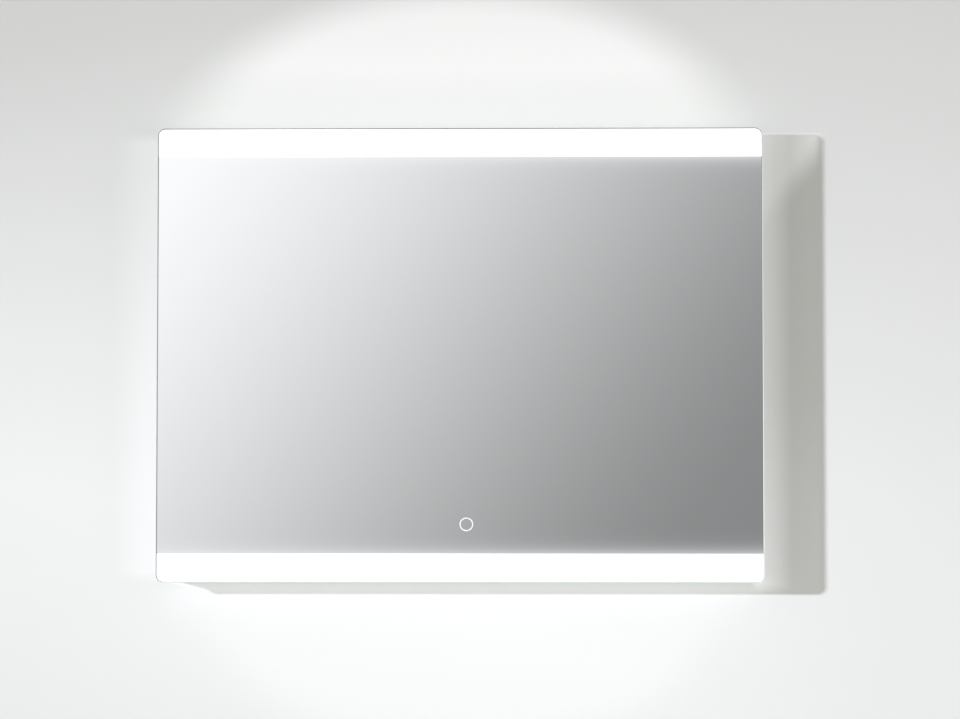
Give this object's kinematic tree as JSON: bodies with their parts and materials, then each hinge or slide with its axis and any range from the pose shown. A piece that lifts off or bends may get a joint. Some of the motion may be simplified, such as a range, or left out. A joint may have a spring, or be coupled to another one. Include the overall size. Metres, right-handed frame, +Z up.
{
  "type": "lighted wall mirror",
  "caption": "Rectangular wall mirror with a lit band along its top and bottom edges, a touch mark, and a housing that hangs on a wall rail.",
  "frame": {"origin": "middle of the wall rail's outer screw slots, on the wall plane", "axes": "+X to the right as one faces the mirror, +Y into the wall, +Z up; the glass faces -Y"},
  "size_m": [0.8, 0.045, 0.6],
  "materials": {
    "clear_glass": "polished float glass",
    "silver": "silvered, with grey paint and film behind",
    "opal_plastic": "opal, satin, lit from behind",
    "anodised_aluminium": "natural anodised, satin",
    "coated_steel": "light grey powder coat",
    "zinc_steel": "bright zinc",
    "black_rubber": "matt",
    "foam_tape": "closed-cell foam, white",
    "white_plastic": "moulded, fine grain",
    "white_board": "white solder mask on aluminium",
    "led_phosphor": "yellow phosphor in white bodies",
    "green_board": "green solder mask",
    "black_component": "moulded",
    "brass": "plain",
    "conductive_foam": "grey conductive foam",
    "clear_plastic": "clear acrylic",
    "grey_jacket": "smooth white cable jacket",
    "core_jacket": "smooth core insulation"
  },
  "bodies": {
    "wall_rail": {"wall_rail": "anodised_aluminium"},
    "mirror": {"back_panel": "coated_steel", "bracket_grub_screws": "zinc_steel", "bumper_screws": "zinc_steel", "cord_bushing": "black_rubber", "corner_brackets": "zinc_steel", "diffuser_bottom": "opal_plastic", "diffuser_top": "opal_plastic", "driver_board": "green_board", "driver_case": "white_plastic", "driver_components": "black_component", "driver_lid": "white_plastic", "driver_screws": "zinc_steel", "end_plugs": "white_plastic", "glass_tapes": "foam_tape", "hanger_rail": "anodised_aluminium", "hanger_rivets": "zinc_steel", "lead_bottom": "grey_jacket", "lead_clips": "white_plastic", "lead_mains": "grey_jacket", "lead_supply": "grey_jacket", "lead_top": "grey_jacket", "led_board_bottom": "white_board", "led_board_top": "white_board", "led_chips_bottom": "led_phosphor", "led_chips_top": "led_phosphor", "light_channel_bottom": "anodised_aluminium", "light_channel_top": "anodised_aluminium", "mains_cores": "core_jacket", "mirror_backing": "silver", "mirror_glass": "clear_glass", "panel_screws": "zinc_steel", "sensor_board": "green_board", "sensor_bonding": "foam_tape", "sensor_connectors": "white_plastic", "sensor_cover": "white_plastic", "sensor_electrode": "conductive_foam", "sensor_housing": "white_plastic", "sensor_leds": "led_phosphor", "sensor_light_ring": "clear_plastic", "side_profile_left": "anodised_aluminium", "side_profile_right": "anodised_aluminium", "strip_feeds": "white_plastic", "terminal_block": "white_plastic", "terminal_box": "white_plastic", "terminal_box_lid": "white_plastic", "terminal_clamps": "zinc_steel", "terminal_fixings": "zinc_steel", "terminal_sleeves": "brass", "wall_bumpers": "black_rubber"}
  },
  "joints": [
    {"name": "mirror_lift", "type": "slide", "parent": "wall_rail", "child": "mirror", "axis": [0, 0, 1], "range_m": [0, 0.014]}
  ]
}
